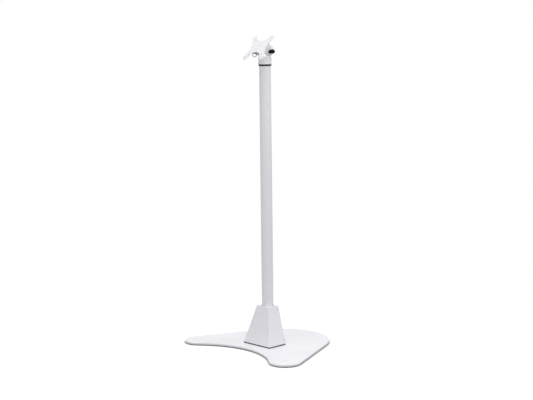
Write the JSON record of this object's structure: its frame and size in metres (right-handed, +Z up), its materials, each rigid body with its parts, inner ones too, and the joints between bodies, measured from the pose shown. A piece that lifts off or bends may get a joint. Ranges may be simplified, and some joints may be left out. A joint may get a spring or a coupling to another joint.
{
  "type": "tablet floor stand",
  "caption": "Floor stand for a tablet: flat hollow-fronted foot, upright pole, and a swivelling head with a knob-clamped tilt and a turning cross plate.",
  "frame": {"origin": "middle of the footprint, on the floor; the pole's axis is 31.5 mm in front of it", "axes": "+Z up the pole, -Y forwards, where the cross plate faces, +X to the side of the clamping knob"},
  "size_m": [0.664, 0.5169, 1.334],
  "materials": {
    "powder_coat": "fine white powder coat, satin",
    "black_rubber": "matte",
    "black_plastic": "satin",
    "plain_steel": "turned",
    "zinc_steel": "zinc plated",
    "dark_steel": "black nickel",
    "white_screws": "white",
    "brass": "turned"
  },
  "bodies": {
    "stand": {"base_plate": "powder_coat", "base_feet": "black_rubber", "foot_screws": "zinc_steel", "pole_flange": "plain_steel", "flange_bolts": "zinc_steel", "pole_tube": "powder_coat", "grub_screws": "zinc_steel", "cover_shell": "powder_coat", "cover_panel": "powder_coat", "cover_screws": "zinc_steel", "cover_trim": "black_rubber", "pole_insert": "plain_steel", "swivel_ring": "black_plastic"},
    "head": {"swivel_spindle": "plain_steel", "spring_washer": "plain_steel", "spindle_nut": "zinc_steel", "head_post": "powder_coat", "post_grommet": "black_rubber", "head_fork": "powder_coat", "pivot_sleeve": "plain_steel"},
    "bracket": {"tilt_bracket": "powder_coat", "friction_washers": "black_plastic", "pivot_washers": "zinc_steel", "pivot_bolt": "zinc_steel", "front_hub_washer": "black_plastic", "rear_hub_washer": "black_plastic", "plunger_body": "powder_coat", "plunger_spring": "zinc_steel"},
    "knob": {"tilt_knob": "black_plastic", "knob_insert": "brass"},
    "plate": {"cross_plate": "powder_coat", "plate_hub": "plain_steel", "hub_screws": "white_screws", "index_disc": "plain_steel", "hub_nut": "zinc_steel"},
    "lock": {"plunger_pin": "dark_steel", "pull_ring": "dark_steel"}
  },
  "joints": [
    {"name": "head_swivel", "type": "hinge", "parent": "stand", "child": "head", "pos_m": [0, -0.0315, 1.21], "axis": [0, 0, 1], "range_deg": [-170, 170]},
    {"name": "head_tilt", "type": "hinge", "parent": "head", "child": "bracket", "pos_m": [0, -0.0315, 1.2665], "axis": [1, 0, 0], "range_deg": [-38, 20]},
    {"name": "knob_turn", "type": "hinge", "parent": "bracket", "child": "knob", "pos_m": [0.0485, -0.0315, 1.2665], "axis": [1, 0, 0], "range_deg": [-360, 0]},
    {"name": "plate_turn", "type": "hinge", "parent": "bracket", "child": "plate", "pos_m": [0, -0.06994, 1.28445], "axis": [0, -0.7986, 0.6018], "range_deg": [-90, 90]},
    {"name": "lock_pull", "type": "slide", "parent": "bracket", "child": "lock", "axis": [-0.6, -0.4815, -0.6389], "range_m": [-0.0025, 0], "deforming": ["plunger_spring"]}
  ]
}
